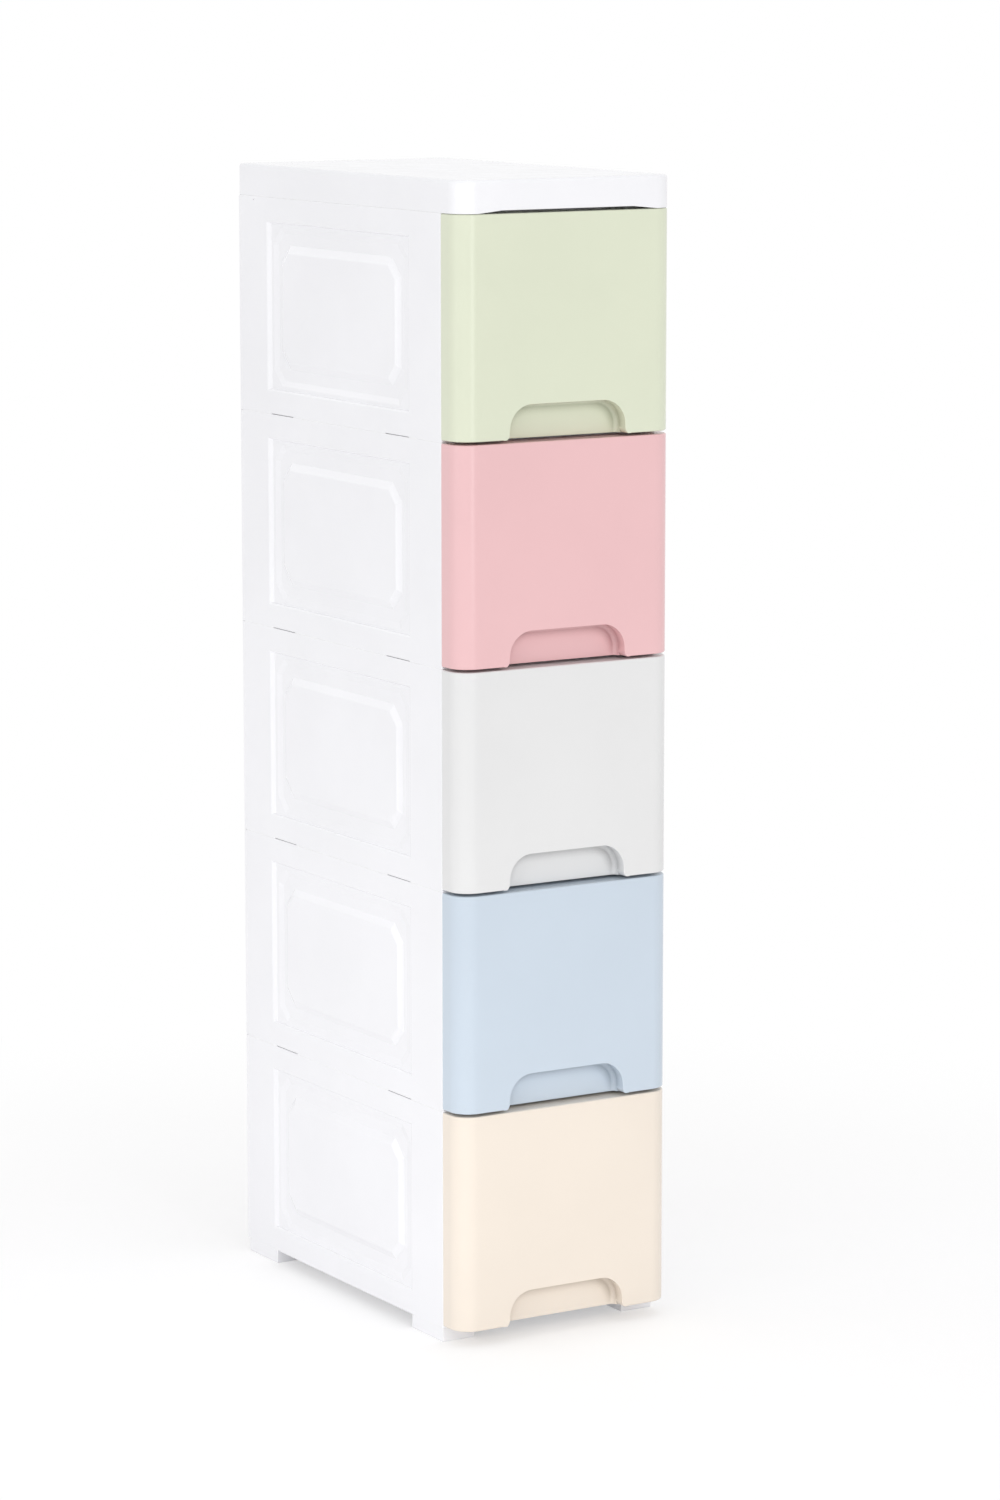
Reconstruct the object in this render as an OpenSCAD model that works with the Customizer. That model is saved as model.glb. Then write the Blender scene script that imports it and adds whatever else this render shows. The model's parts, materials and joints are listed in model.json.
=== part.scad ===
// Slim five-drawer storage tower in moulded plastic.
// Knock-down casing: stacked side and back panels, divider plates, a footed base and a
// top cover. Five sliding drawers, each a white tray with a coloured hollow front.
// X runs left to right, Y front to back, Z up. The origin is the middle of the footprint
// on the floor. Tier 1 is the top one and tier 5 the bottom one.

/* [Tower] */
// Width across the side panels
width = 214; // [190:1:260]
// Depth from the drawer faces to the back panels
depth = 386; // [320:1:460]
// Height of one tier, from seam to seam
tier_pitch = 192; // [170:1:230]
// Height of the feet under the casing
foot_height = 12; // [10:1:30]
// Height of the top cover
cover_height = 28; // [24:1:45]

/* [Casing] */
// Wall of the side panels, divider ribs and feet
wall = 2.2; // [1.8:0.1:2.8]
// Thickness of a side panel over its flanges
panel_thick = 12; // [11:0.5:16]
// Thickness of the divider and base plates
plate_thick = 3; // [2:0.5:5]
// Thickness of the stiffening ribs
rib_thick = 1.6; // [1.2:0.1:2.4]
// Radius of the front upright edge of a side panel
panel_edge_r = 1.4; // [0.6:0.1:2]
// Wall of the top cover
cover_wall = 2.5; // [2:0.1:4]
// Radius of the top edges of the cover
cover_edge_r = 3; // [1:0.5:3.5]
// Radius of the two rear corners of the cover
cover_rear_r = 4; // [4:0.5:12]
// Height of the relief under the front skirt of the cover
cover_relief = 2.4; // [1:0.1:4]
// Depth of a back panel
back_thick = 5; // [4.5:0.5:10]
// Wall of a back panel
back_wall = 2; // [1.5:0.1:2.5]
// Depth of the middle field of a back panel, below its frame
back_recess = 1; // [0.4:0.1:1]
// Height of the open stretches of the seam between stacked side panels
seam_relief = 0.6; // [0.2:0.1:1]
// Length of those stretches, at each end of the moulded field
seam_slot = 40; // [10:1:60]

/* [Pegs and tabs] */
// Diameter of the pegs that join the tiers
peg_d = 5.6; // [4:0.1:6]
// Clearance of a peg in its hole, on the diameter
peg_clear = 0.4; // [0.2:0.1:0.8]
// How far a peg tip stands out below its hole
peg_tip = 1; // [0.5:0.1:2]
// Height of the back panel tabs
tab_height = 14; // [8:1:20]
// Thickness of the back panel tabs
tab_thick = 2; // [1.5:0.1:2.5]
// Clearance round a tab in its slot
tab_clear = 0.3; // [0.2:0.1:0.6]

/* [Side moulding] */
// Distance of the moulded field from the front edge
field_margin_front = 54; // [40:1:70]
// Distance of the moulded field from the rear edge
field_margin_rear = 48; // [40:1:70]
// Distance of the moulded field from the top and bottom edges
field_margin_z = 21.5; // [16:0.5:30]
// Depth of the field below the posts
field_recess = 2.2; // [1:0.1:3]
// Run of the field's front wall
field_wall_front = 1; // [0.5:0.1:3]
// Run of the field's rear wall, a wide slope
field_wall_rear = 4.8; // [2:0.1:8]
// Run of the field's wall, at top and bottom
field_wall_z = 1.2; // [0.4:0.2:3]
// Ledge between the field's front wall and the groove
ledge_front = 3.4; // [2:0.1:8]
// Ledge between the field's rear wall and the groove
ledge_rear = 4; // [2:0.1:8]
// Ledge between the field's wall and the groove, at top and bottom
ledge_z = 3.2; // [2:0.1:6]
// Depth of the groove below the ledge
groove_depth = 1.2; // [0.5:0.1:1.5]
// Run of the groove's outer slope, at the front and rear
outer_slope_y = 8; // [3:0.5:10]
// Run of the groove's outer slope, at top and bottom
outer_slope_z = 5; // [2:0.1:7]
// Flat bottom of the groove, at the front and rear
groove_flat_y = 5; // [3:0.5:8]
// Flat bottom of the groove, at top and bottom
groove_flat_z = 10.2; // [5:0.1:12]
// Run of the groove's inner slope, at the front and rear
inner_slope_y = 5.2; // [3:0.1:8]
// Run of the groove's inner slope, at top and bottom
inner_slope_z = 6.4; // [3:0.1:7]
// Leg of the chamfered corners of the groove, outside
groove_chamfer = 14; // [8:0.5:18]
// Leg of the chamfered corners of the middle panel
island_chamfer = 12; // [6:0.5:14]
// How far the middle panel stays below the posts
panel_sink = 0.2; // [0.1:0.1:0.8]

/* [Feet] */
// Length of a foot, front to back
foot_length = 53; // [40:1:70]
// Width of a foot
foot_width = 31.5; // [24:0.5:45]

/* [Drawer fronts] */
// Depth of a drawer front, face to rear edge
front_depth = 30; // [28:1:45]
// Radius of the upright corners of the fronts and the cover
front_radius = 18.5; // [12:0.5:22]
// Wall of a drawer front
front_wall = 2.5; // [2:0.1:3]
// Radius of the outer edges of a drawer front
front_edge_r = 1.5; // [0.8:0.1:2]
// Open gap between one drawer front and the next
front_gap = 2.2; // [1.5:0.1:4]
// Clearance between a drawer front and the casing
front_clear = 0.3; // [0.3:0.1:0.8]

/* [Finger notch] */
// Height of the notch above the lower edge of the front
notch_height = 29.5; // [22:0.5:40]
// Flat length at the top of the notch
notch_flat = 71; // [40:1:90]
// Radius of the upper corners of the notch
notch_radius = 22; // [12:0.5:22]
// Radius of the lower corners, where the notch flares out
flare_radius = 6; // [3:0.5:7]
// Depth of the finger pocket from the drawer face
pocket_depth = 14; // [11:0.5:18]
// Radius where the walls of the pocket turn into its back
pocket_fillet = 4; // [2:0.5:8]
// Wall of the pocket
pocket_wall = 2.2; // [1.6:0.1:3]

/* [Drawer trays] */
// Wall and floor of a tray
tray_wall = 2; // [1.5:0.1:2.5]
// Width of the rim that stands out round the tray
rim_width = 3; // [2.5:0.1:5]
// Height of the rim's turned-down edge
rim_drop = 6; // [4:0.5:10]
// Clearance between the rim and each side panel
tray_side_clear = 0.8; // [0.5:0.1:2]
// Clearance behind the tray
tray_rear_clear = 5; // [2:0.5:15]
// Clearance between the rim and the stop lip above
tray_top_clear = 1; // [0.5:0.1:2]
// Radius of the rear corners of the tray
tray_corner_r = 8; // [6:0.5:14]
// Radius of the tray where its walls meet the floor
tray_foot_r = 4; // [3:0.5:6]
// Thickness of the face plate that clips into the drawer front
face_thick = 2; // [1.5:0.1:3]
// Clearance round the face plate inside the drawer front
face_clear = 0.5; // [0.3:0.1:0.8]

/* [Runners and stops] */
// Height of the runner rails on the plates
runner_height = 3; // [2:0.5:5]
// Width of a runner rail
runner_width = 6; // [4:0.5:10]
// Distance of a runner rail in from the tray's side wall
runner_inset = 8; // [6:0.5:20]
// Running clearance under the tray
run_clear = 0.3; // [0.3:0.05:0.6]
// Drop of the stop lip at the front of each divider
lip_drop = 6; // [5:0.5:9]
// Thickness of the stop lip
lip_thick = 2.5; // [2:0.1:4]
// Height of the stop tabs on the tray rim
stop_height = 4.5; // [3:0.5:4.5]
// Distance of the stop tabs from the rear of the tray
stop_setback = 72; // [40:1:120]

/* [Hidden] */
$fn = 64;

tier_count = 5;
casing_white = "#f1f2f6";
tray_white = "#f4f5f5";
front_colours = ["#e0e4cf", "#efc5c7", "#ebebeb", "#d8e2ec", "#f8eee1"];

// Overlap that keeps one cut clear of the face it opens
cut = 1;

// Places along Y, and the length of a side panel
face_y = -depth / 2;
panel_y = face_y + front_depth;
panel_length = depth - front_depth - back_thick;
back_y = depth / 2 - back_thick;

// The outlines of the moulded field, from its edge to the middle panel, as half sizes,
// and how far the groove lies ahead of the middle of the field
field_half_y = (panel_length - field_margin_front - field_margin_rear) / 2;
field_half_z = tier_pitch / 2 - field_margin_z;
groove_inset_front = field_wall_front + ledge_front;
groove_inset_rear = field_wall_rear + ledge_rear;
groove_shift = (groove_inset_front - groove_inset_rear) / 2;
groove_half_y = field_half_y - (groove_inset_front + groove_inset_rear) / 2;
groove_half_z = field_half_z - field_wall_z - ledge_z;
floor_half_y = groove_half_y - outer_slope_y;
floor_half_z = groove_half_z - outer_slope_z;
island_foot_half_y = floor_half_y - groove_flat_y;
island_foot_half_z = floor_half_z - groove_flat_z;
island_half_y = island_foot_half_y - inner_slope_y;
island_half_z = island_foot_half_z - inner_slope_z;
groove_level = field_recess + groove_depth;

// Flanges of a side panel, which hold the plates between them
flange_low = plate_thick / 2;
flange_high = tier_pitch - plate_thick / 2;
peg_u = (wall + panel_thick) / 2;
peg_places = [field_margin_front / 2, panel_length / 2, panel_length - field_margin_rear / 2];
peg_hole_d = peg_d + peg_clear;
tab_u = peg_u;
tab_inset = 42;
tab_places = [tab_inset, tier_pitch - tab_inset];
tab_hook = 5;
tab_reach = wall + tab_hook;
guide_inset = tier_pitch / 2 - floor_half_z + groove_flat_z / 2;
guide_places = [guide_inset, tier_pitch - guide_inset];
post_rib_inset = 2 * rib_thick;
post_rib_places = [field_margin_front - post_rib_inset,
                   panel_length - field_margin_rear + post_rib_inset - rib_thick];
catch_hole_d = 1.8;
catch_hole_drop = 3.2;
catch_hole_inset = 24;

// The space between the side panels
bay_width = width - 2 * panel_thick;
plate_play = 0.5;
long_ribs = 4;
cross_ribs = 5;
cover_cross_ribs = 2;
rib_inset = lip_thick + 8;

// Drawer front, measured from the seam under its tier
front_bottom = front_gap;
front_height = tier_pitch - front_gap - front_clear;
front_length = front_depth - front_clear;
notch_half = notch_flat / 2 + notch_radius;
// Share of its radius by which the flare's centre stands above the lower edge
flare_lift = 0.85;
pocket_top = notch_height + pocket_wall;

// Tray, measured from the same seam
tray_bottom = flange_low + runner_height + run_clear;
tray_top = flange_high - lip_drop - tray_top_clear;
tray_height = tray_top - tray_bottom;
rim_half = bay_width / 2 - tray_side_clear;
tray_half = rim_half - rim_width;
tray_rear = depth - back_thick - tray_rear_clear;
catch_depth = 2.4;
catch_height = 1.4;
catch_length = 12;
catch_play = 0.2;
catch_inset = 0.4;
catch_places = [front_height / 4, front_height * 3 / 4];
face_seat = front_length - catch_inset - catch_depth - catch_play - face_thick;
tray_length = tray_rear - face_seat;
runner_x = tray_half - runner_inset;
lip_y = front_depth + 1;
front_ribs = 4;
front_rib_x = tray_half - runner_inset;

function tier_z(tier) = foot_height + (tier_count - tier) * tier_pitch;

// ---------- outlines ----------

// What a square corner loses when it is rounded
module spandrel(r) {
    difference() {
        square(r + cut);
        circle(r);
    }
}

// A filled section whose outer end has rounded corners
module edge_profile(reach, height, top_r, bottom_r) {
    difference() {
        square([reach, height]);
        if (top_r > 0)
            translate([reach - top_r, height - top_r]) spandrel(top_r);
        if (bottom_r > 0)
            translate([reach - bottom_r, bottom_r]) mirror([0, 1]) spandrel(bottom_r);
    }
}

// A straight run of that section, reaching out along X and running back along -Y
module edge_run(length, reach, height, top_r, bottom_r) {
    rotate([90, 0, 0])
        linear_extrude(length) edge_profile(reach, height, top_r, bottom_r);
}

// A block with rounded upright corners and soft top and bottom edges.
// It is centred in X and starts at Y = 0 and Z = 0.
module soft_block(w, d, h, front_r, rear_r, top_r, bottom_r) {
    half = w / 2;
    translate([0, d - rear_r, 0]) {
        edge_run(d - front_r - rear_r, half, h, top_r, bottom_r);
        mirror([1, 0, 0]) edge_run(d - front_r - rear_r, half, h, top_r, bottom_r);
    }
    if (front_r > 0) {
        translate([half - front_r, front_r, 0]) {
            rotate([0, 0, -90]) edge_run(w - 2 * front_r, front_r, h, top_r, bottom_r);
            rotate([0, 0, -90])
                rotate_extrude(angle = 90) edge_profile(front_r, h, top_r, bottom_r);
        }
        translate([front_r - half, front_r, 0]) rotate([0, 0, 180])
            rotate_extrude(angle = 90) edge_profile(front_r, h, top_r, bottom_r);
    }
    if (rear_r > 0) {
        translate([rear_r - half, d - rear_r, 0]) {
            rotate([0, 0, 90]) edge_run(w - 2 * rear_r, rear_r, h, top_r, bottom_r);
            rotate([0, 0, 90])
                rotate_extrude(angle = 90) edge_profile(rear_r, h, top_r, bottom_r);
        }
        translate([half - rear_r, d - rear_r, 0])
            rotate_extrude(angle = 90) edge_profile(rear_r, h, top_r, bottom_r);
    }
}

// Corner points of a rectangle with chamfered corners, centred on the origin
function octagon(half_y, half_z, leg) = [
    [half_y, half_z - leg], [half_y - leg, half_z],
    [leg - half_y, half_z], [-half_y, half_z - leg],
    [-half_y, leg - half_z], [leg - half_y, -half_z],
    [half_y - leg, -half_z], [half_y, leg - half_z]
];

// What the leg of a chamfer loses when its outline moves in by these two runs
function chamfer_loss(run_y, run_z) = (2 - sqrt(2)) * (run_y + run_z) / 2;

// Corner points of a rectangle from the front to the rear, in the same order
function rectangle(front_y, rear_y, half_z) = [
    [rear_y, half_z], [front_y, half_z], [front_y, -half_z], [rear_y, -half_z]
];

// A plug with sloping sides between two outlines with as many corners, standing along X
module sloped_plug(x0, points0, x1, points1) {
    corners = len(points0);
    polyhedron(
        points = concat([for (p = points0) [x0, p[0], p[1]]], [for (p = points1) [x1, p[0], p[1]]]),
        faces = concat(
            [[for (i = [0:corners - 1]) i]],
            [[for (i = [corners - 1:-1:0]) corners + i]],
            [for (i = [0:corners - 1])
                [corners + i, corners + (i + 1) % corners, (i + 1) % corners, i]]
        )
    );
}

// A straight-sided plug of one outline, from X = 0
module straight_plug(length, points) {
    rotate([90, 0, 90]) linear_extrude(length) polygon(points);
}

// ---------- side panels ----------

// Channel section of a side panel: its skin with a flange at the front and the rear.
// Its front edge is round, and its rear edge meets the back panel flush.
module panel_section() {
    difference() {
        square([panel_thick, panel_length]);
        translate([wall, wall]) square([panel_thick, panel_length - 2 * wall]);
        translate([panel_edge_r, panel_edge_r])
            mirror([1, 0]) mirror([0, 1]) spandrel(panel_edge_r);
    }
}

// Stepped skin of the moulded field, centred on Y = 0 and Z = 0, outer face at X = 0:
// a recess with sloping walls, a ledge, a groove with a gentle outer slope, and a middle
// panel that rises out of the groove to the level of the posts
module field_skin() {
    mouth = rectangle(-field_half_y, field_half_y, field_half_z);
    ledge = rectangle(field_wall_front - field_half_y, field_half_y - field_wall_rear,
                      field_half_z - field_wall_z);
    groove = octagon(groove_half_y, groove_half_z, groove_chamfer);
    groove_floor = octagon(floor_half_y, floor_half_z,
                           groove_chamfer - chamfer_loss(outer_slope_y, outer_slope_z));
    island_foot = octagon(island_foot_half_y, island_foot_half_z,
                          island_chamfer + chamfer_loss(inner_slope_y, inner_slope_z));
    island = octagon(island_half_y, island_half_z, island_chamfer);
    hollow = octagon(island_half_y - wall, island_half_z - wall,
                     island_chamfer - chamfer_loss(wall, wall));
    difference() {
        union() {
            difference() {
                union() {
                    translate([0, -field_half_y - wall, -field_half_z - wall])
                        cube([field_recess + wall, 2 * (field_half_y + wall),
                              2 * (field_half_z + wall)]);
                    translate([0, groove_shift, 0]) straight_plug(groove_level + wall, groove);
                }
                translate([-cut, 0, 0]) straight_plug(cut, mouth);
                sloped_plug(0, mouth, field_recess, ledge);
                translate([0, groove_shift, 0])
                    sloped_plug(field_recess, groove, groove_level, groove_floor);
            }
            translate([0, groove_shift, 0])
                sloped_plug(panel_sink, island, groove_level, island_foot);
        }
        translate([panel_sink + wall, groove_shift, 0]) straight_plug(panel_thick, hollow);
    }
}

// Ribs inside a side panel: one along each post and two drawer guides across the field
module panel_ribs() {
    for (y = post_rib_places)
        translate([wall / 2, y, flange_low])
            cube([panel_thick - wall / 2, rib_thick, flange_high - flange_low]);
    for (z = guide_places)
        translate([groove_level + wall / 2, post_rib_places[0], z - rib_thick / 2])
            cube([panel_thick - groove_level - wall / 2, post_rib_places[1] - post_rib_places[0],
                  rib_thick]);
}

// Pegs under a side panel that pass through a plate into the panel below. Those of the
// bottom tier end flush with the base plate.
module panel_pegs(tier) {
    length = plate_thick + (tier < tier_count ? wall + peg_tip : 0);
    for (y = peg_places)
        translate([peg_u, y, flange_low - length]) cylinder(d = peg_d, h = length + wall / 2);
}

// Left side panel of one tier, outer face at X = 0, lower seam at Z = 0
module side_panel(tier) {
    middle = [0, field_margin_front + field_half_y, tier_pitch / 2];
    difference() {
        union() {
            difference() {
                union() {
                    linear_extrude(tier_pitch) panel_section();
                    translate([wall / 2, wall / 2, flange_low])
                        cube([panel_thick - wall / 2, panel_length - wall, wall]);
                    translate([wall / 2, wall / 2, flange_high - wall])
                        cube([panel_thick - wall / 2, panel_length - wall, wall]);
                }
                translate(middle) translate([-cut, -field_half_y, -field_half_z])
                    cube([wall + 2 * cut, 2 * field_half_y, 2 * field_half_z]);
            }
            translate(middle) field_skin();
            panel_ribs();
            panel_pegs(tier);
        }
        for (y = peg_places)
            translate([peg_u, y, flange_high - wall - cut])
                cylinder(d = peg_hole_d, h = wall + 2 * cut);
        for (z = tab_places)
            translate([tab_u - tab_thick / 2 - tab_clear, panel_length - wall - cut,
                       z - tab_height / 2 - tab_clear])
                cube([tab_thick + 2 * tab_clear, wall + 2 * cut, tab_height + 2 * tab_clear]);
        for (y = [field_margin_front, panel_length - field_margin_front - seam_slot])
            translate([-cut, y, -cut]) cube([wall + cut, seam_slot, seam_relief + cut]);
        if (tier == 1)
            translate([-cut, panel_length - catch_hole_inset, tier_pitch - catch_hole_drop])
                rotate([0, 90, 0]) cylinder(d = catch_hole_d, h = wall + 2 * cut);
    }
}

module side_panel_left(tier) {
    color(casing_white)
        translate([-width / 2, panel_y, tier_z(tier)]) side_panel(tier);
}

module side_panel_right(tier) {
    color(casing_white)
        mirror([1, 0, 0]) translate([-width / 2, panel_y, tier_z(tier)]) side_panel(tier);
}

// ---------- back panels ----------

// Tab that hooks through the rear flange of a side panel, pointing to the front
module back_tab() {
    translate([-tab_thick / 2, -tab_reach, -tab_height / 2])
        cube([tab_thick, tab_reach + back_wall / 2, tab_height]);
    translate([tab_thick / 2 - tab_clear / 2, 0, -tab_height / 2]) linear_extrude(tab_height)
        polygon([[0, -tab_reach], [0, -wall - tab_clear], [tab_thick / 2, -wall - tab_clear]]);
}

module back_panel(tier) {
    margin = 2 * field_margin_z;
    field = octagon(width / 2 - margin, tier_pitch / 2 - margin, groove_chamfer);
    emboss = back_thick - back_wall;
    color(casing_white) translate([0, back_y, tier_z(tier)]) {
        difference() {
            soft_block(width, back_thick, tier_pitch - seam_relief / 2, 0, back_wall, 0, 0);
            translate([back_wall - width / 2, -cut, back_wall])
                cube([width - 2 * back_wall, emboss + cut,
                      tier_pitch - seam_relief / 2 - 2 * back_wall]);
            translate([0, back_thick - back_recess, tier_pitch / 2])
                rotate([0, 0, 90]) straight_plug(back_recess + cut, field);
        }
        for (side = [-1, 1])
            for (z = tab_places)
                translate([side * (width / 2 - tab_u), 0, z]) {
                    mirror([side < 0 ? 1 : 0, 0, 0]) back_tab();
                    translate([-tab_thick, 0, -tab_height / 2])
                        cube([2 * tab_thick, emboss + back_wall / 2, tab_height]);
                }
    }
}

// ---------- plates ----------

// Plate with tongues that lie between the flanges of the stacked side panels.
// Its middle plane is the seam at Z = 0. It carries the runner rails of the drawer above.
module plate_with_runners() {
    tongue_half = width / 2 - wall - tab_clear;
    translate([plate_play - bay_width / 2, face_y + lip_y, -plate_thick / 2])
        cube([bay_width - 2 * plate_play, depth - back_thick - tab_clear - lip_y, plate_thick]);
    translate([-tongue_half, panel_y + wall + tab_clear, -plate_thick / 2])
        cube([2 * tongue_half, panel_length - 2 * (wall + tab_clear), plate_thick]);
    for (side = [-1, 1])
        translate([side * runner_x - runner_width / 2, panel_y + runner_width, 0])
            cube([runner_width, panel_length - 2 * runner_width,
                  plate_thick / 2 + runner_height]);
}

// Holes for the pegs of the side panels, from a depth below the seam
module peg_holes(depth_below) {
    for (side = [-1, 1])
        for (y = peg_places)
            translate([side * (width / 2 - peg_u), panel_y + y, -depth_below])
                cylinder(d = peg_hole_d, h = depth_below + plate_thick);
}

// Crossed stiffening ribs below a plate, at an inset from its front and rear edges
module plate_ribs(drop, inset) {
    rib_x = runner_x - runner_width;
    rib_front = panel_y + inset;
    rib_length = panel_length - 2 * inset;
    for (i = [0:long_ribs - 1])
        translate([(2 * i / (long_ribs - 1) - 1) * rib_x - rib_thick / 2, rib_front,
                   -drop - plate_thick / 2])
            cube([rib_thick, rib_length, drop + plate_thick / 2]);
    for (i = [0:cross_ribs - 1])
        translate([-rib_x, rib_front + i * (rib_length - rib_thick) / (cross_ribs - 1),
                   -drop - plate_thick / 2])
            cube([2 * rib_x, rib_thick, drop + plate_thick / 2]);
}

module divider(tier) {
    color(casing_white) translate([0, 0, tier_z(tier)]) {
        difference() {
            plate_with_runners();
            peg_holes(plate_thick);
        }
        plate_ribs(lip_drop - 1, rib_inset);
        translate([plate_play - bay_width / 2, face_y + lip_y, -plate_thick / 2 - lip_drop])
            cube([bay_width - 2 * plate_play, lip_thick, plate_thick / 2 + lip_drop]);
    }
}

// One hollow foot, its outer corner at the origin
module foot() {
    difference() {
        cube([foot_width, foot_length, foot_height]);
        translate([wall, wall, -cut])
            cube([foot_width - 2 * wall, foot_length - 2 * wall,
                  foot_height - plate_thick / 2 - wall + cut]);
    }
    translate([foot_width / 2 - rib_thick / 2, wall / 2, 0])
        cube([rib_thick, foot_length - wall, foot_height - wall]);
}

module base() {
    color(casing_white) {
        difference() {
            union() {
                translate([0, 0, foot_height]) plate_with_runners();
                for (side = [0, 1])
                    for (y = [panel_y, back_y - foot_length])
                        mirror([side, 0, 0]) translate([-width / 2, y, 0]) foot();
            }
            translate([0, 0, foot_height]) peg_holes(plate_thick);
        }
        translate([0, 0, foot_height])
            plate_ribs((foot_height - plate_thick / 2) / 2, foot_length + wall);
    }
}

// ---------- top cover ----------

// Boss under the cover that stands on the flange of a side panel and ends in a peg
module cover_boss() {
    boss_d = panel_thick - wall - plate_play;
    top = cover_height - cover_wall / 2;
    translate([0, 0, -flange_low]) cylinder(d = boss_d, h = top + flange_low);
    translate([0, 0, -flange_low - wall - peg_tip]) cylinder(d = peg_d, h = wall + peg_tip + 1);
}

module top_cover() {
    inner_w = width - 2 * cover_wall;
    inner_d = depth - 2 * cover_wall;
    roof = cover_height - cover_wall;
    relief_end = width / 2 - front_radius;
    relief_ramp = 24;
    rib_height = 8;
    rib_span = depth / (cover_cross_ribs + 1);
    color(casing_white) translate([0, face_y, foot_height + tier_count * tier_pitch]) {
        difference() {
            soft_block(width, depth, cover_height, front_radius, cover_rear_r, cover_edge_r, 0);
            translate([0, cover_wall, -cut])
                soft_block(inner_w, inner_d, roof + cut, front_radius - cover_wall,
                           cover_rear_r - cover_wall, 0, 0);
            rotate([90, 0, 0]) translate([0, 0, -cover_wall - cut])
                linear_extrude(cover_wall + 2 * cut)
                    polygon([[-relief_end, -cut], [-relief_end, 0],
                             [relief_ramp - relief_end, cover_relief],
                             [relief_end - relief_ramp, cover_relief],
                             [relief_end, 0], [relief_end, -cut]]);
        }
        for (side = [-1, 1])
            for (y = peg_places)
                translate([side * (width / 2 - peg_u), front_depth + y, 0]) cover_boss();
        translate([plate_play - bay_width / 2, lip_y, -flange_low - lip_drop])
            cube([bay_width - 2 * plate_play, lip_thick, cover_height - cover_wall / 2
                  + flange_low + lip_drop]);
        for (x = [-width / 4, 0, width / 4])
            translate([x - rib_thick / 2, lip_y, roof - rib_height])
                cube([rib_thick, depth - lip_y - cover_wall / 2, rib_height + cover_wall / 2]);
        for (i = [1:cover_cross_ribs])
            translate([-inner_w / 2 - cover_wall / 2, i * rib_span, roof - rib_height])
                cube([inner_w + cover_wall, rib_thick, rib_height + cover_wall / 2]);
    }
}

// ---------- drawer fronts ----------

// Outline of the finger notch in the face, from below its lower edge
module notch_outline() {
    difference() {
        translate([-notch_half, -cut]) square([2 * notch_half, notch_height + cut]);
        for (side = [0, 1])
            mirror([side, 0])
                translate([notch_flat / 2, notch_height - notch_radius]) spandrel(notch_radius);
    }
    for (side = [0, 1])
        mirror([side, 0])
            difference() {
                translate([notch_half - cut, -cut])
                    square([flare_radius + cut, flare_lift * flare_radius + cut]);
                translate([notch_half + flare_radius, flare_lift * flare_radius])
                    circle(flare_radius);
            }
}

// Body of the finger pocket: the notch's outline carried back from the face, with a
// rounded turn into its back. It reaches a drop below the lower edge.
module pocket_body(grow, drop) {
    translate([0, 0, -drop]) mirror([0, 1, 0]) rotate([90, 0, 0])
        soft_block(2 * (notch_half + grow), notch_height + grow + drop, pocket_depth + grow,
                   0, notch_radius + grow, pocket_fillet + grow, 0);
}

// Solid corner that backs the flared end of the notch on each side
module flare_backing() {
    for (side = [0, 1])
        mirror([side, 0, 0]) translate([notch_half, 0, 0])
            cube([flare_radius, pocket_depth, flare_lift * flare_radius + pocket_wall]);
}

// Wedge on an inner wall of the front that the tray's face plate snaps behind
module catch_wedge() {
    translate([0, 0, -catch_length / 2]) linear_extrude(catch_length)
        polygon([[-catch_height, -catch_depth], [front_wall / 2, -catch_depth],
                 [front_wall / 2, 0], [0, 0]]);
}

module drawer_front(tier) {
    inner_half = width / 2 - front_wall;
    color(front_colours[tier - 1]) translate([0, face_y, tier_z(tier) + front_bottom])
        difference() {
            union() {
                difference() {
                    soft_block(width, front_length, front_height, front_radius, 0,
                               front_edge_r, front_edge_r);
                    translate([0, front_wall, front_wall])
                        soft_block(2 * inner_half, front_length, front_height - 2 * front_wall,
                                   front_radius - front_wall, 0, 0, 0);
                }
                pocket_body(pocket_wall, 0);
                flare_backing();
                for (i = [0:front_ribs - 1])
                    translate([(2 * i / (front_ribs - 1) - 1) * front_rib_x - rib_thick / 2,
                               front_wall / 2, pocket_top - pocket_wall / 2])
                        cube([rib_thick, face_seat - front_wall / 2,
                              front_height - pocket_top + pocket_wall / 2 - front_wall / 2]);
                for (side = [0, 1])
                    mirror([side, 0, 0])
                        for (z = catch_places)
                            translate([inner_half, front_length - catch_inset, z]) catch_wedge();
            }
            pocket_body(0, cut);
            translate([0, pocket_depth - pocket_fillet, 0]) rotate([90, 0, 0])
                linear_extrude(pocket_depth - pocket_fillet + cut) notch_outline();
        }
}

// ---------- drawer trays ----------

// Stop tab on the rim, with a ramp towards the rear
module stop_tab() {
    length = 3 * stop_height;
    rotate([90, 0, 90]) linear_extrude(rim_width)
        polygon([[0, -tray_wall / 2], [length, -tray_wall / 2], [length, 0],
                 [tray_wall, stop_height], [0, stop_height]]);
}

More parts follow.
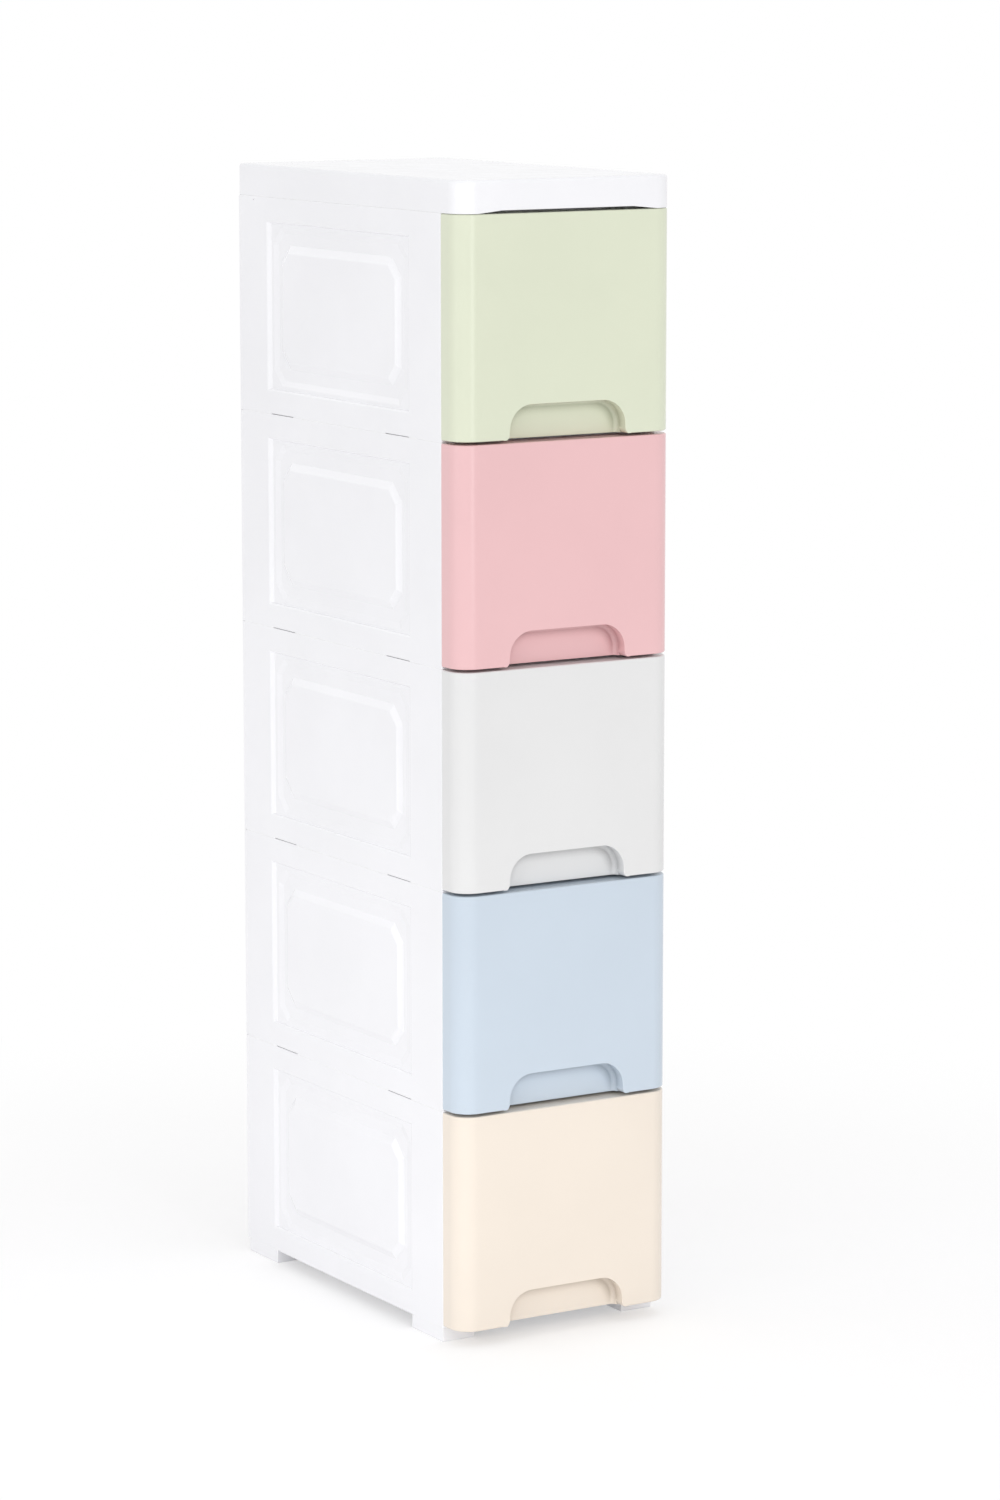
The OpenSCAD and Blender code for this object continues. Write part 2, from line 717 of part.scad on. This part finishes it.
module drawer_tray(tier) {
    face_half = width / 2 - front_wall - face_clear;
    face_bottom = front_bottom + front_wall + face_clear - tray_bottom;
    face_height = front_height - 2 * (front_wall + face_clear);
    color(tray_white) translate([0, face_y + face_seat, tier_z(tier) + tray_bottom]) {
        difference() {
            union() {
                soft_block(2 * tray_half, tray_length, tray_height, 0, tray_corner_r,
                           0, tray_foot_r);
                translate([0, 0, tray_height - rim_drop])
                    soft_block(2 * rim_half, tray_length + rim_width, rim_drop, 0,
                               tray_corner_r + rim_width, 0, 0);
                translate([-face_half, 0, face_bottom])
                    cube([2 * face_half, face_thick, face_height]);
            }
            translate([0, face_thick, tray_wall])
                soft_block(2 * (tray_half - tray_wall), tray_length - face_thick - tray_wall,
                           tray_height, 0, tray_corner_r - tray_wall, 0, tray_foot_r - tray_wall);
            difference() {
                translate([0, face_thick + cut, tray_height - rim_drop - cut])
                    soft_block(2 * (rim_half - tray_wall / 2), tray_length + rim_width
                               - tray_wall / 2 - face_thick - cut, rim_drop + cut - tray_wall, 0,
                               tray_corner_r + rim_width - tray_wall / 2, 0, 0);
                translate([0, 0, tray_height - rim_drop - 2 * cut])
                    soft_block(2 * tray_half, tray_length, rim_drop + 2 * cut, 0,
                               tray_corner_r, 0, 0);
            }
        }
        for (side = [0, 1])
            mirror([side, 0, 0])
                translate([rim_half - rim_width, tray_length - stop_setback, tray_height])
                    stop_tab();
    }
}

// ---------- the tower ----------

top_cover();
base();
side_panel_left(1);  // side_panel_left_1
side_panel_left(2);  // side_panel_left_2
side_panel_left(3);  // side_panel_left_3
side_panel_left(4);  // side_panel_left_4
side_panel_left(5);  // side_panel_left_5
side_panel_right(1);  // side_panel_right_1
side_panel_right(2);  // side_panel_right_2
side_panel_right(3);  // side_panel_right_3
side_panel_right(4);  // side_panel_right_4
side_panel_right(5);  // side_panel_right_5
back_panel(1);  // back_panel_1
back_panel(2);  // back_panel_2
back_panel(3);  // back_panel_3
back_panel(4);  // back_panel_4
back_panel(5);  // back_panel_5
divider(1);  // divider_1
divider(2);  // divider_2
divider(3);  // divider_3
divider(4);  // divider_4
drawer_front(1);  // drawer_front_1
drawer_front(2);  // drawer_front_2
drawer_front(3);  // drawer_front_3
drawer_front(4);  // drawer_front_4
drawer_front(5);  // drawer_front_5
drawer_tray(1);  // drawer_tray_1
drawer_tray(2);  // drawer_tray_2
drawer_tray(3);  // drawer_tray_3
drawer_tray(4);  // drawer_tray_4
drawer_tray(5);  // drawer_tray_5
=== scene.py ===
# Slim drawer tower: softened edges, moulded-plastic materials, a plain studio and the camera.
import json
import math

import bmesh
import bpy
from mathutils import Euler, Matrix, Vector


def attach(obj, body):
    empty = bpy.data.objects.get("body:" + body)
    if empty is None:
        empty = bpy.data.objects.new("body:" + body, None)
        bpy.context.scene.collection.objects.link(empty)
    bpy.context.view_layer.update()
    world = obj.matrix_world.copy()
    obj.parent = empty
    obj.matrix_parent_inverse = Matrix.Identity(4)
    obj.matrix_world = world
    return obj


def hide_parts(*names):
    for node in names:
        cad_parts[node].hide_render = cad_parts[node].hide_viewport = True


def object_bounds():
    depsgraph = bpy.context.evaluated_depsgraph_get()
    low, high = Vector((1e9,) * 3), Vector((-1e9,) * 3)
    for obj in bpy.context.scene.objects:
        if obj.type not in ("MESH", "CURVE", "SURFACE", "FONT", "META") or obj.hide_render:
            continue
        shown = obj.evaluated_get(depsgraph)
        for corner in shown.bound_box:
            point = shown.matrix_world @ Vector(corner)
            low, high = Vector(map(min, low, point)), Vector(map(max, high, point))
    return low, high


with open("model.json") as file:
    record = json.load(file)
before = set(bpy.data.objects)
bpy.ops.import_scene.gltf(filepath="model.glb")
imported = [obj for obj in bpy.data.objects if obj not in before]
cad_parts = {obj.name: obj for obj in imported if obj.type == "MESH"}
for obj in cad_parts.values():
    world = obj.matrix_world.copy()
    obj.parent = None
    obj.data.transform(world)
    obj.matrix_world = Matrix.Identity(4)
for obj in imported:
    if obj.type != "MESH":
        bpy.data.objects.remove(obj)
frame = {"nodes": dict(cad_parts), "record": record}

cad_low, cad_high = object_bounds()
scene = bpy.context.scene

# All lengths are in metres, apart from the camera's lens and sensor.

# ---------- camera, found by fitting the corners of the tower in the photograph ----------

CAMERA_PLACE = (-2.1698, -3.6621, 1.1952)
# Degrees: to the right of +Y, down from the level, and round the line of sight
CAMERA_YAW = 31.22
CAMERA_PITCH = 9.45
CAMERA_ROLL = 0.02
# Millimetres
CAMERA_LENS = 116.64
CAMERA_SENSOR = 36.0
CAMERA_NEAR = 0.1
CAMERA_FAR = 60.0


def make_camera():
    data = bpy.data.cameras.new("camera")
    data.lens = CAMERA_LENS
    data.sensor_width = CAMERA_SENSOR
    data.clip_start = CAMERA_NEAR
    data.clip_end = CAMERA_FAR
    camera = bpy.data.objects.new("camera", data)
    camera.location = CAMERA_PLACE
    camera.rotation_euler = Euler(
        (math.radians(90 - CAMERA_PITCH), math.radians(CAMERA_ROLL), math.radians(-CAMERA_YAW)))
    scene.collection.objects.link(camera)
    scene.camera = camera


# ---------- node trees ----------


class Shading:
    """The node tree of a material or a world, empty at first."""

    def __init__(self, owner):
        owner.use_nodes = True
        self.tree = owner.node_tree
        self.tree.nodes.clear()

    def node(self, kind, inputs=None, **settings):
        """A new node. Each of its inputs is a plain value or the output of another node."""
        made = self.tree.nodes.new(kind)
        for setting, value in settings.items():
            setattr(made, setting, value)
        for name, value in (inputs or {}).items():
            if isinstance(value, bpy.types.NodeSocket):
                self.tree.links.new(value, made.inputs[name])
            else:
                made.inputs[name].default_value = value
        return made

    def place(self):
        """Where a point of the surface lies, in metres."""
        return self.node("ShaderNodeTexCoord").outputs["Object"]

    def noise(self, place, scale, detail=2.0):
        inputs = {"Vector": place, "Scale": scale, "Detail": detail}
        return self.node("ShaderNodeTexNoise", inputs).outputs["Fac"]

    def step(self, value, low, high, at_low, at_high):
        """A smooth step from at_low to at_high, while value goes from low to high."""
        inputs = {"Value": value, "From Min": low, "From Max": high,
                  "To Min": at_low, "To Max": at_high}
        made = self.node("ShaderNodeMapRange", inputs, interpolation_type="SMOOTHSTEP")
        return made.outputs["Result"]

    def patches(self, place, pattern, between, within):
        """Soft-edged patches of noise, with one value between them and one within them."""
        scale, detail, begin, full = pattern
        return self.step(self.noise(place, scale, detail), begin, full, between, within)

    def mix(self, share, first, second):
        """The first colour, with as much of the second one over it as share says."""
        inputs = {"Fac": share, "Color1": first, "Color2": second}
        return self.node("ShaderNodeMixRGB", inputs).outputs["Color"]

    def combine(self, operation, first, second):
        return self.node("ShaderNodeMath", {0: first, 1: second}, operation=operation).outputs[0]

    def seen_directly(self):
        """1 for rays from the camera, and for those that gloss and glass send on from it."""
        path = self.node("ShaderNodeLightPath").outputs
        seen = self.combine("MAXIMUM", path["Is Camera Ray"], path["Is Glossy Ray"])
        return self.combine("MAXIMUM", seen, path["Is Transmission Ray"])


# ---------- plastics ----------


def srgb(r, g, b):
    """A colour written as 8-bit screen values, as the linear values that shaders take."""
    def linear(v):
        v /= 255
        return v / 12.92 if v <= 0.04045 else ((v + 0.055) / 1.055) ** 2.4
    return linear(r), linear(g), linear(b), 1.0


# The colours of the record's material slots
COLOURS = {
    "casing_white": srgb(247, 247, 250),
    "tray_white": srgb(243, 244, 245),
    "front_green": srgb(223, 228, 205),
    "front_pink": srgb(237, 193, 195),
    "front_grey": srgb(230, 230, 230),
    "front_blue": srgb(203, 215, 227),
    "front_cream": srgb(240, 229, 216),
}
# No red, green or blue goes above this, however much paler a place is
BRIGHTEST = 0.97
REFRACTION = 1.5

# Patterns: the scale and detail of the noise, and its values where a patch begins and is full
FLOW_CLOUDS = (9.0, 3.0, 0.3, 0.7)
RUBBING = (120.0, 3.0, 0.35, 0.65)
DULL_PATCHES = (30.0, 4.0, 0.25, 0.75)
# How far the flow clouds darken and lighten the colour
FLOW = 0.012
# How much of the rubbed colour the edges show, and how that colour differs from the plain one
RUBBED_SHARE = (0.25, 0.8)
RUBBED_FACTOR = 1.08
RUBBED_ADDED = 0.02
ROUGHNESS = (0.16, 0.22)
# Relief: the scale of the noise, its strength and its depth
FINE_GRAIN = (900.0, 0.25, 0.00004)
GLOSS_WAVES = (45.0, 0.06, 0.0004)

# Painted shade: the colour is darker and fuller in the inner corners of a finger pocket, where
# shade falls, up to this far out
CORNER_SHADE_REACH = 0.016
# The painted shade begins where this share of the space around is open, and is darkest at this one
CORNER_SHADE_BEGINS = 0.9
CORNER_SHADE_DARKEST = 0.3
# The darkest painted shade is the plain colour to this power, times this level
CORNER_SHADE_POWER = 2.2
CORNER_SHADE_LEVEL = 0.35
CORNER_SHADE_SAMPLES = 8

# The face attribute that marks rounded edges, where the plastic is rubbed
WEAR = "edge_wear"


def toned(colour, factor, added=0.0):
    return [min(v * factor + added, BRIGHTEST) for v in colour[:3]] + [1.0]


def relief(shading, place, pattern, under=None):
    """Noise as a bump, over another relief if there is one under it."""
    scale, strength, depth = pattern
    inputs = {"Height": shading.noise(place, scale), "Strength": strength, "Distance": depth}
    if under:
        inputs["Normal"] = under
    return shading.node("ShaderNodeBump", inputs).outputs["Normal"]


def painted_corner_shade(shading, colour_and_shade, colour):
    """The colour of a surface, with painted shade in its inner corners: a darker and fuller colour
    where shade falls.
    """
    around = shading.node("ShaderNodeAmbientOcclusion", {"Distance": CORNER_SHADE_REACH},
                          samples=CORNER_SHADE_SAMPLES, only_local=True)
    share = shading.step(around.outputs["AO"], CORNER_SHADE_DARKEST, CORNER_SHADE_BEGINS, 1.0, 0.0)
    shaded_colour = [CORNER_SHADE_LEVEL * v ** CORNER_SHADE_POWER for v in colour[:3]] + [1.0]
    return shading.mix(share, colour_and_shade, shaded_colour)


def moulded_plastic(slot, colour):
    """Injection-moulded plastic: faint flow clouds, a slightly wavy gloss, paler edges and, on the
    fronts, painted shade in inner corners.
    """
    material = bpy.data.materials.new(slot)
    shading = Shading(material)
    place = shading.place()

    clouds = shading.patches(place, FLOW_CLOUDS, 0.0, 1.0)
    colour_and_shade = shading.mix(clouds, toned(colour, 1 - FLOW), toned(colour, 1 + FLOW))
    wear = shading.node("ShaderNodeAttribute", attribute_name=WEAR).outputs["Fac"]
    rubbed = shading.combine("MULTIPLY", wear, shading.patches(place, RUBBING, *RUBBED_SHARE))
    colour_and_shade = shading.mix(rubbed, colour_and_shade, toned(colour, RUBBED_FACTOR, RUBBED_ADDED))
    # On the fronts, painted shade darkens the inner corners of the finger pockets
    if slot.startswith("front"):
        colour_and_shade = painted_corner_shade(shading, colour_and_shade, colour)

    grain = relief(shading, place, FINE_GRAIN)
    body = shading.node("ShaderNodeBsdfPrincipled", {
        "Base Color": colour_and_shade,
        "Roughness": shading.patches(place, DULL_PATCHES, *ROUGHNESS),
        "IOR": REFRACTION,
        "Normal": relief(shading, place, GLOSS_WAVES, under=grain),
    })
    shading.node("ShaderNodeOutputMaterial", {"Surface": body.outputs["BSDF"]})
    return material


materials = {slot: moulded_plastic(slot, colour) for slot, colour in COLOURS.items()}

# ---------- the pieces: CAD shapes with their sharp edges softened ----------

# Corners closer than this are joined, and so are faces closer in angle than this
WELD = 0.000002
FLAT = math.radians(0.3)
# Edges sharper than this are rounded a little. Each kind of rounding has a width, and a number
# of faces across it.
SHARP = math.radians(32)
SOFT_EDGE = 0.0003
SOFT_FACES = 2
# The rims of the side panels' moulding are shallower, and rounded more widely. They lie at
# least this far inside the panel's border.
MOULDING_ANGLE = math.radians(12)
MOULDING_EDGE = 0.0012
MOULDING_FACES = 6
MOULDING_INSET = 0.015
# The soles of the feet are rounded too, so that they meet the floor in a fine shadow line
SOLE_EDGE = 0.0016
SOLE_FACES = 3
# A corner closer than this to a plane lies in it
FLUSH = 0.0004
# The bevel profile of a round edge
ROUND = 0.5
# How much more a large face counts than a small one in a shared normal: 50 is the same, and
# 100 the most
FACE_WEIGHT = 100


def is_side_panel(node):
    return node.startswith("side_panel")


def convex_edges(shape, angle):
    return [edge for edge in shape.edges
            if len(edge.link_faces) == 2 and edge.is_convex and edge.calc_face_angle(0) > angle]


def moulding_edges(shape):
    """The convex edges in the outer face of a side panel, away from the panel's border."""
    corners = [vert.co for vert in shape.verts]
    low = Vector([min(co[axis] for co in corners) for axis in range(3)])
    high = Vector([max(co[axis] for co in corners) for axis in range(3)])
    outer = low.x if low.x + high.x < 0 else high.x

    def in_moulding(co):
        return (abs(co.x - outer) < FLUSH
                and all(low[a] + MOULDING_INSET < co[a] < high[a] - MOULDING_INSET for a in (1, 2)))
    return [edge for edge in convex_edges(shape, MOULDING_ANGLE)
            if all(in_moulding(vert.co) for vert in edge.verts)]


def sole_edges(shape):
    """The outer edges of the faces that stand on the floor."""
    return [edge for edge in convex_edges(shape, SHARP)
            if all(abs(vert.co.z - cad_low[2]) < FLUSH for vert in edge.verts)]


def rounded(shape, edges, width, faces, clamp_overlap=True):
    """Rounds some edges of a shape and returns the new faces.

    With clamp_overlap, all of them get narrower where two would run into each other.
    """
    return bmesh.ops.bevel(shape, geom=edges, offset=width, segments=faces, profile=ROUND,
                           affect="EDGES", clamp_overlap=clamp_overlap)["faces"]


def softened_shape(node):
    """A copy of a CAD node's shape with rounded edges.

    The slopes of a side panel's moulding are shallow, and shared normals would hide them, so
    a side panel's faces stay flat and its rims get more of them.
    """
    shape = bmesh.new()
    shape.from_mesh(frame["nodes"][node].data)
    wear = shape.faces.layers.float.new(WEAR)
    bmesh.ops.remove_doubles(shape, verts=shape.verts, dist=WELD)
    bmesh.ops.dissolve_limit(shape, angle_limit=FLAT, verts=shape.verts, edges=shape.edges)
    if is_side_panel(node):
        rounded(shape, moulding_edges(shape), MOULDING_EDGE, MOULDING_FACES)
    if node == "base":
        rounded(shape, sole_edges(shape), SOLE_EDGE, SOLE_FACES)
    sharp_edges = convex_edges(shape, SHARP)
    for face in rounded(shape, sharp_edges, SOFT_EDGE, SOFT_FACES, clamp_overlap=False):
        face[wear] = 1.0
    for face in shape.faces:
        face.smooth = not is_side_panel(node)
    return shape


def softened(node, slot):
    """The piece that takes a CAD node's place."""
    mesh = bpy.data.meshes.new(node + "_moulded")
    shape = softened_shape(node)
    shape.to_mesh(mesh)
    shape.free()
    mesh.materials.append(materials[slot])
    piece = bpy.data.objects.new(node + "_moulded", mesh)
    scene.collection.objects.link(piece)
    if not is_side_panel(node):
        mesh.set_sharp_from_angle(angle=SHARP)
        normals = piece.modifiers.new("even normals", "WEIGHTED_NORMAL")
        normals.weight = FACE_WEIGHT
        normals.keep_sharp = True
    return piece


side_panels = bpy.data.collections.new("side panels")
slots = {row["node"]: row["material_slot"] for row in frame["record"]["subparts"]}
for body, members in frame["record"]["behaviour"]["bodies"].items():
    for node in members:
        piece = softened(node, slots[node])
        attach(piece, body)
        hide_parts(node)
        if is_side_panel(node):
            side_panels.objects.link(piece)

# ---------- studio ----------

FLOOR_SIZE = 14.0
# The floor's two tones, and the scale of the noise that mixes them
FLOOR_TONES = (srgb(244, 243, 243), srgb(248, 248, 249))
FLOOR_NOISE = 3.0
# Near the tower the floor shows its own glow and a share of the light that falls on it, so
# that it reads as white and keeps a soft shadow. Further out it fades to plain white.
FLOOR_GLOW = 0.38
FLOOR_SHARE = 0.74
FADE_START = 0.35
FADE_END = 1.1
# How strongly the world lights the tower. Seen directly, its strength is 1.
WORLD_LIGHT = 0.75
WHITE = (1.0, 1.0, 1.0, 1.0)
BLACK = (0.0, 0.0, 0.0, 1.0)
# Lamps: name, place, aim, width, height, watts
LAMPS = [
    ("key box", (-2.12, -2.12, 1.2), (0.0, 0.0, 0.9), 5.6, 2.4, 20.0),
    ("left box", (-2.9, 0.05, 1.15), (0.0, 0.0, 0.55), 1.2, 2.2, 3.6),
    ("front box", (-0.1, -3.0, 1.25), (0.0, 0.0, 0.55), 0.9, 2.2, 9.0),
    ("top box", (0.2, -0.3, 3.3), (0.0, 0.0, 0.5), 2.2, 2.2, 7.5),
]
# A long low strip that lifts the feet and the lowest tier. It isn't mirrored in the plastic.
LOW_STRIP = ("low strip", (-0.85, -1.05, 0.13), (0.0, 0.0, 0.08), 0.9, 0.2, 0.3)
LOW_STRIP_SPREAD = math.radians(60)
# Cards that only show as a sheen, on the slopes of the side panels' moulding
SHEEN_CARDS = [
    ("rear card", (-0.5, 2.6, 2.1), (-0.5, 0.0, 2.1), 3.6, 2.2, 14.0),
    ("left card", (-1.25, 0.45, 0.8), (-0.1, 0.0, 0.8), 1.15, 1.6, 5.0),
]


def add_lamp(name, place, aim, width, height, watts):
    data = bpy.data.lights.new(name, "AREA")
    data.shape = "RECTANGLE"
    data.size = width
    data.size_y = height
    data.energy = watts
    lamp = bpy.data.objects.new(name, data)
    lamp.location = place
    lamp.rotation_euler = (Vector(aim) - Vector(place)).to_track_quat("-Z", "Y").to_euler()
    lamp.visible_camera = False
    scene.collection.objects.link(lamp)
    return lamp


def make_lamps():
    for values in LAMPS:
        add_lamp(*values)
    for values in SHEEN_CARDS:
        card = add_lamp(*values)
        card.visible_diffuse = False
        card.light_linking.receiver_collection = side_panels
    low_strip = add_lamp(*LOW_STRIP)
    low_strip.visible_glossy = False
    low_strip.data.spread = LOW_STRIP_SPREAD


def floor_material():
    """A pale floor that reads as white and keeps the soft shadow of the tower."""
    material = bpy.data.materials.new("floor")
    shading = Shading(material)
    place = shading.place()
    reach = shading.node("ShaderNodeVectorMath", {0: place}, operation="LENGTH").outputs["Value"]
    seen = shading.seen_directly()

    def where_seen(near, far):
        """A value that changes from near to far, and 0 for rays that don't see it directly."""
        faded = shading.step(reach, FADE_START, FADE_END, near, far)
        return shading.combine("MULTIPLY", seen, faded)

    tone = shading.mix(shading.noise(place, FLOOR_NOISE), *FLOOR_TONES)
    lit = shading.mix(where_seen(1 - FLOOR_SHARE, 1.0), tone, BLACK)
    matt = shading.node("ShaderNodeBsdfDiffuse", {"Color": lit}).outputs["BSDF"]
    glow = shading.node("ShaderNodeEmission", {"Strength": where_seen(FLOOR_GLOW, 1.0)})
    both = shading.node("ShaderNodeAddShader", {0: matt, 1: glow.outputs["Emission"]})
    shading.node("ShaderNodeOutputMaterial", {"Surface": both.outputs["Shader"]})
    return material


def make_floor():
    half = FLOOR_SIZE / 2
    mesh = bpy.data.meshes.new("floor")
    mesh.from_pydata([(-half, -half, 0), (half, -half, 0), (half, half, 0), (-half, half, 0)],
                     [], [(0, 1, 2, 3)])
    mesh.materials.append(floor_material())
    floor = bpy.data.objects.new("floor", mesh)
    scene.collection.objects.link(floor)


def make_world():
    world = bpy.data.worlds.new("studio")
    shading = Shading(world)
    inputs = {"Value": shading.seen_directly(), "To Min": WORLD_LIGHT, "To Max": 1.0}
    strength = shading.node("ShaderNodeMapRange", inputs).outputs["Result"]
    light = shading.node("ShaderNodeBackground", {"Color": WHITE, "Strength": strength})
    shading.node("ShaderNodeOutputWorld", {"Surface": light.outputs["Background"]})
    scene.world = world


make_camera()
make_world()
make_floor()
make_lamps()
scene.view_settings.view_transform = "Standard"
